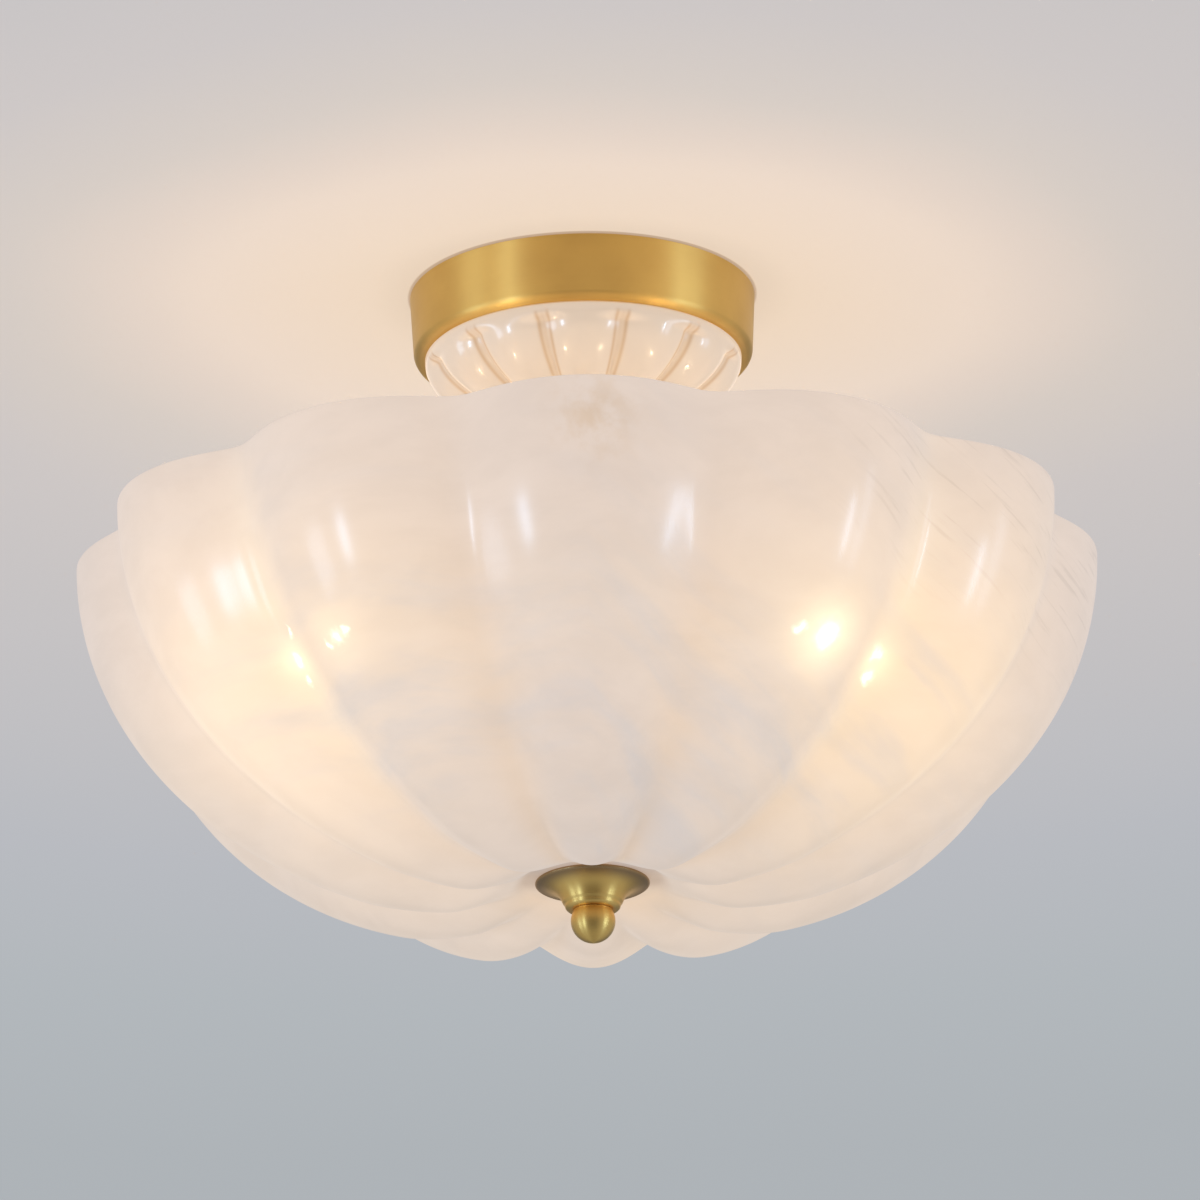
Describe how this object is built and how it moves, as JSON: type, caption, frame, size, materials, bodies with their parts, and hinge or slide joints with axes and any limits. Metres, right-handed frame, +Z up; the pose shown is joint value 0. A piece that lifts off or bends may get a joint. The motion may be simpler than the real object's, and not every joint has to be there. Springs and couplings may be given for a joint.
{
  "type": "semi-flush ceiling light",
  "caption": "Semi-flush ceiling light with a brass canopy, a fluted glass neck dish, a lobed milky glass bowl open at the top, lamps on a centre stem and a ball finial.",
  "frame": {"origin": "centre of the crossbar's top face, in the ceiling plane on the light's axis", "axes": "+Z up through the ceiling along the stem; -Y is the front in the picture; +X runs along the crossbar"},
  "size_m": [0.411, 0.411, 0.276],
  "materials": {
    "galvanised_steel": "galvanised, dull",
    "green_paint": "green dyed zinc",
    "zinc_steel": "bright zinc",
    "satin_brass": "satin gold brass",
    "inner_brass": "satin brass",
    "neck_glass": "glossy, milky, faintly clear",
    "bowl_glass": "glossy milky glass with white wisps",
    "clear_silicone": "translucent silicone",
    "finial_brass": "satin antique brass",
    "nylon": "natural nylon",
    "black_lead": "black insulation",
    "white_lead": "white insulation",
    "porcelain": "glazed white porcelain",
    "contact_brass": "bright brass sheet",
    "bulb_glass": "clear glass",
    "bulb_mount": "clear glass mount with wires",
    "filament": "yellow coated filament sticks, lit",
    "cap_metal": "bright",
    "cap_insulator": "black vitrite"
  },
  "bodies": {
    "base": {"crossbar": "galvanised_steel", "ground_screw": "green_paint", "stem_pipe": "zinc_steel", "pipe_nuts": "zinc_steel", "canopy": "satin_brass", "canopy_washer": "zinc_steel", "neck_gasket": "clear_silicone", "neck_dish": "neck_glass", "neck_pad": "clear_silicone", "neck_cap": "inner_brass", "neck_collar": "inner_brass", "stem_sleeve": "inner_brass", "hub_body": "inner_brass", "hub_cover": "inner_brass", "hub_screws": "zinc_steel", "terminal_block": "nylon", "live_leads": "black_lead", "neutral_leads": "white_lead", "arm_1": "zinc_steel", "arm_2": "zinc_steel", "arm_3": "zinc_steel", "arm_nuts": "zinc_steel", "lampholder_1": "porcelain", "lampholder_2": "porcelain", "lampholder_3": "porcelain", "screw_shell_1": "contact_brass", "screw_shell_2": "contact_brass", "screw_shell_3": "contact_brass", "centre_contact_1": "contact_brass", "centre_contact_2": "contact_brass", "centre_contact_3": "contact_brass", "centre_rod": "zinc_steel", "rod_nuts": "zinc_steel"},
    "shade": {"bowl_washer": "inner_brass", "upper_gasket": "clear_silicone", "bowl": "bowl_glass", "lower_gasket": "clear_silicone"},
    "cup": {"finial_cup": "finial_brass"},
    "knob": {"finial": "finial_brass"},
    "bulb_1": {"bulb_glass_1": "bulb_glass", "bulb_stem_1": "bulb_mount", "led_filaments_1": "filament", "bulb_cap_1": "cap_metal", "bulb_insulator_1": "cap_insulator", "bulb_eyelet_1": "cap_metal"},
    "bulb_2": {"bulb_glass_2": "bulb_glass", "bulb_stem_2": "bulb_mount", "led_filaments_2": "filament", "bulb_cap_2": "cap_metal", "bulb_insulator_2": "cap_insulator", "bulb_eyelet_2": "cap_metal"},
    "bulb_3": {"bulb_glass_3": "bulb_glass", "bulb_stem_3": "bulb_mount", "led_filaments_3": "filament", "bulb_cap_3": "cap_metal", "bulb_insulator_3": "cap_insulator", "bulb_eyelet_3": "cap_metal"}
  },
  "joints": [
    {"name": "shade_lower", "type": "slide", "parent": "base", "child": "shade", "axis": [0, 0, -1], "range_m": [0, 0.22]},
    {"name": "cup_advance", "type": "slide", "parent": "shade", "child": "cup", "axis": [0, 0, -1], "range_m": [0, 0.008]},
    {"name": "knob_turn", "type": "hinge", "parent": "cup", "child": "knob", "pos_m": [0, 0, -0.2671], "axis": [0, 0, -1], "range_deg": [0, 2270]},
    {"name": "bulb_1_pull", "type": "slide", "parent": "base", "child": "bulb_1", "axis": [0, 0.9781, -0.2079], "range_m": [0, 0.024]},
    {"name": "bulb_2_pull", "type": "slide", "parent": "base", "child": "bulb_2", "axis": [-0.8471, -0.4891, -0.2079], "range_m": [0, 0.024]},
    {"name": "bulb_3_pull", "type": "slide", "parent": "base", "child": "bulb_3", "axis": [0.8471, -0.4891, -0.2079], "range_m": [0, 0.024]}
  ],
  "couplings": [
    {"joint": "knob_turn", "follows": "cup_advance", "rad_per_m": 4947.4}
  ]
}
